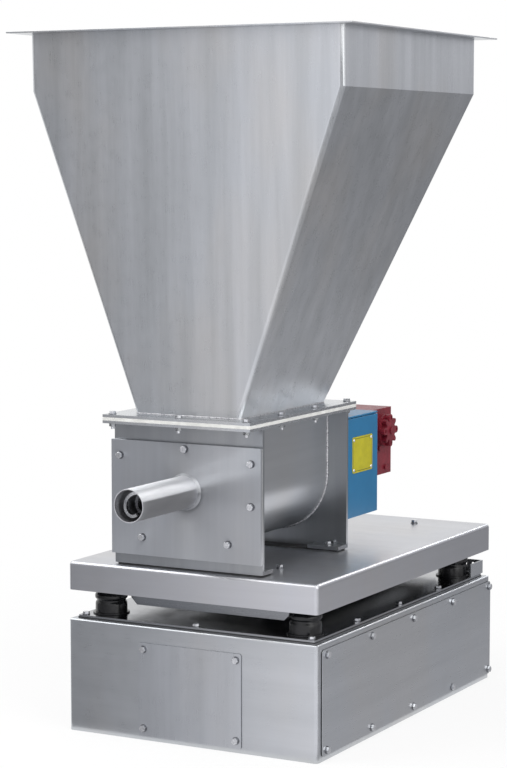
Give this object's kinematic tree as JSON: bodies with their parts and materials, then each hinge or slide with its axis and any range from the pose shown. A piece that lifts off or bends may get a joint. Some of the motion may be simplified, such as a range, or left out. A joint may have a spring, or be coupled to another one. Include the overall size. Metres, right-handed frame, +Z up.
{
  "type": "loss-in-weight screw feeder",
  "caption": "Loss-in-weight screw feeder: a tapered hopper over a trough with two coaxial augers and a discharge tube, standing on a weigh deck over a load cell base.",
  "frame": {"origin": "middle of the four floor bolt holes, on the underside of the base", "axes": "+Z up, -Y towards the discharge tube, +Y towards the gear reducer, +X to the right seen from the discharge end"},
  "size_m": [0.826, 1.1495, 1.518],
  "materials": {
    "stainless": "brushed",
    "stainless_fasteners": "satin",
    "mild_steel": "machined",
    "black_rubber": "matte",
    "white_rubber": "matte",
    "black_plastic": "matte",
    "junction_box": "cast",
    "blue_paint": "semi-gloss",
    "red_paint": "gloss",
    "label_yellow": "gloss",
    "bronze": "machined"
  },
  "bodies": {
    "base": {"base_housing": "stainless", "base_gasket": "black_rubber", "base_top_plate": "stainless", "base_top_bolts": "stainless_fasteners", "front_access_cover": "stainless", "side_cover": "stainless", "access_cover_bolts": "stainless_fasteners", "cell_rails": "mild_steel", "load_cells": "mild_steel", "isolator_pads": "black_rubber", "junction_box": "junction_box", "cable_gland": "black_plastic", "lock_bracket": "stainless", "boots": "black_rubber"},
    "platform": {"weigh_deck": "stainless", "weigh_frame": "stainless", "load_posts": "stainless", "deck_bolts": "stainless_fasteners", "foot_pads": "black_rubber", "front_end_plate": "stainless", "rear_end_plate": "stainless", "trough": "stainless", "trough_flange": "stainless", "inlet_gasket": "white_rubber", "hopper": "stainless", "hopper_flange": "stainless", "flange_bolts": "stainless_fasteners", "flange_nuts": "stainless_fasteners", "discharge_cover": "stainless", "cover_gasket": "white_rubber", "cover_bolts": "stainless_fasteners", "discharge_tube": "stainless", "shaft_seal": "black_rubber", "bearing_carrier": "mild_steel", "auger_bearing": "mild_steel", "shaft_bearings": "mild_steel", "gear_case": "blue_paint", "gear_case_lid": "blue_paint", "label_plate": "label_yellow", "label_rivets": "stainless_fasteners", "reducer_case": "red_paint", "reducer_cap": "red_paint", "drive_bolts": "red_paint", "worm_bearings": "mild_steel", "motor_body": "red_paint", "motor_fan_cover": "red_paint", "terminal_box": "red_paint"},
    "metering_auger": {"metering_helix": "stainless", "metering_shaft": "stainless", "metering_gear": "mild_steel"},
    "conditioning_auger": {"conditioning_ribbon": "stainless", "conditioning_shaft": "stainless", "conditioning_gear": "mild_steel"},
    "drive_train": {"drive_shaft": "mild_steel", "conditioning_pinion": "mild_steel", "metering_driver": "mild_steel", "worm_wheel": "bronze"},
    "motor_rotor": {"worm_shaft": "mild_steel", "motor_fan": "black_plastic"}
  },
  "joints": [
    {"name": "weigh_travel", "type": "slide", "parent": "base", "child": "platform", "axis": [0, 0, 1], "range_m": [-0.002, 0.001], "stiffness_N_per_m": 2500000, "springref_m": 0.00069, "deforming": ["boots", "isolator_pads"]},
    {"name": "motor_spin", "type": "hinge", "parent": "platform", "child": "motor_rotor", "pos_m": [0, 0.24, 0.614], "axis": [1, 0, 0], "continuous": true},
    {"name": "drive_spin", "type": "hinge", "parent": "platform", "child": "drive_train", "pos_m": [0.07074, 0, 0.56], "axis": [0, 1, 0], "continuous": true},
    {"name": "metering_spin", "type": "hinge", "parent": "platform", "child": "metering_auger", "pos_m": [-0.018, 0, 0.545], "axis": [0, 1, 0], "continuous": true},
    {"name": "conditioning_spin", "type": "hinge", "parent": "platform", "child": "conditioning_auger", "pos_m": [-0.018, 0, 0.545], "axis": [0, 1, 0], "continuous": true}
  ],
  "couplings": [
    {"joint": "drive_spin", "follows": "motor_spin", "ratio": -0.066667},
    {"joint": "metering_spin", "follows": "motor_spin", "ratio": 0.13333},
    {"joint": "conditioning_spin", "follows": "motor_spin", "ratio": 0.033333}
  ]
}
